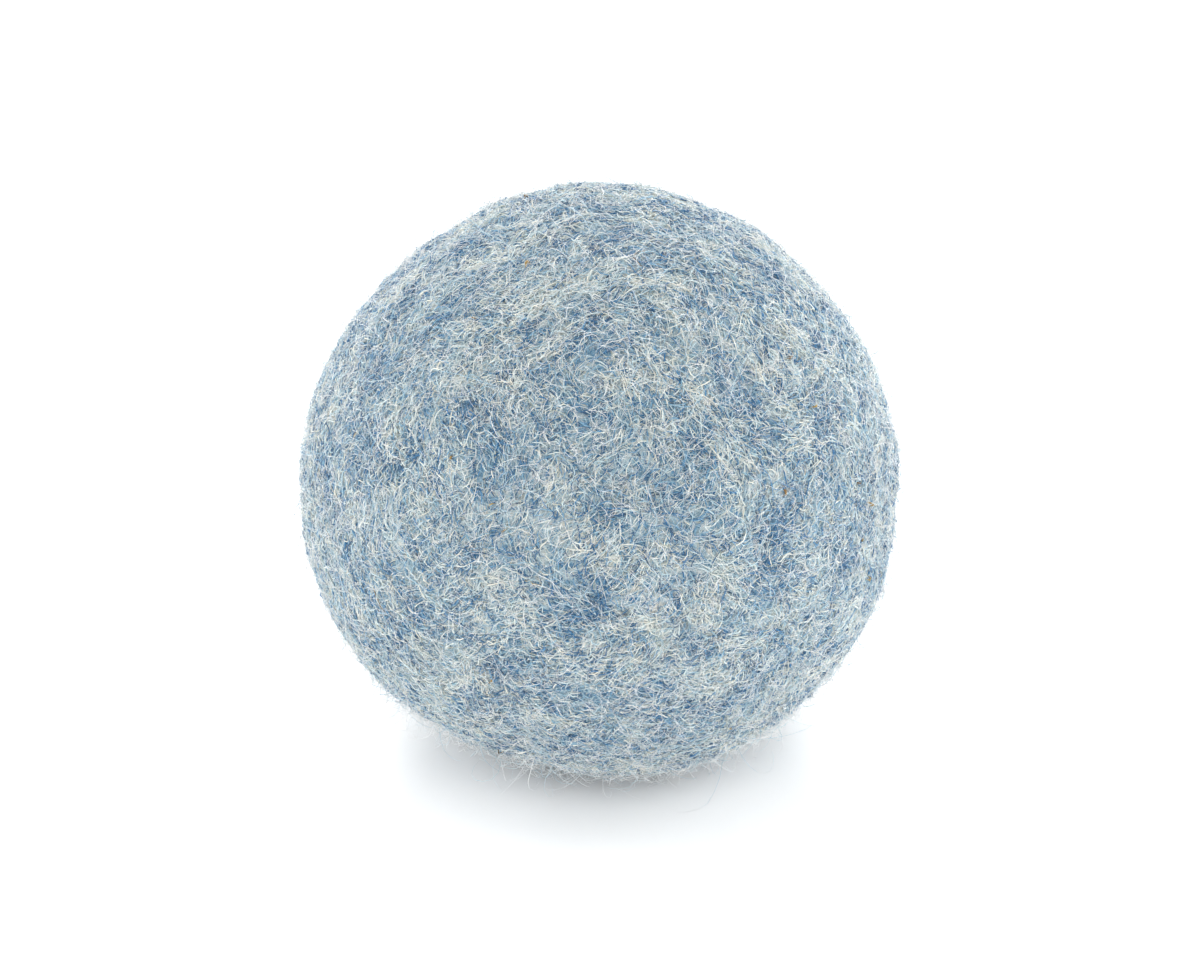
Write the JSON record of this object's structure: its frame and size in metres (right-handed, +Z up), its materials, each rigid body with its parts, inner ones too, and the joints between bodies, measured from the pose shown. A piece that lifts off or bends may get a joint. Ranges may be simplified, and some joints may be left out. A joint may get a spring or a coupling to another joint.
{
  "type": "dryer ball",
  "caption": "Felted wool ball tumbled with laundry to soften it: dyed outer felt over wound wool layers and a rolled wool core.",
  "frame": {"origin": "centre of the small flat that the ball rests on", "axes": "+Z up, away from the rest flat; -Y is the front, where the outer sliver's winding starts"},
  "size_m": [0.0693, 0.0698, 0.0694],
  "materials": {
    "dyed_felt": "fuzzy wet-felted wool, heather blue",
    "dyed_wool": "combed dyed wool, half felted",
    "cream_wool": "carded undyed wool",
    "coarse_wool": "coarse undyed wool batting"
  },
  "bodies": {
    "root": {"dyed_outer_wrap": "dyed_felt", "dyed_under_wrap": "dyed_wool", "third_wrap": "cream_wool", "second_wrap": "cream_wool", "first_wrap": "coarse_wool", "core_roll": "coarse_wool"}
  },
  "joints": []
}
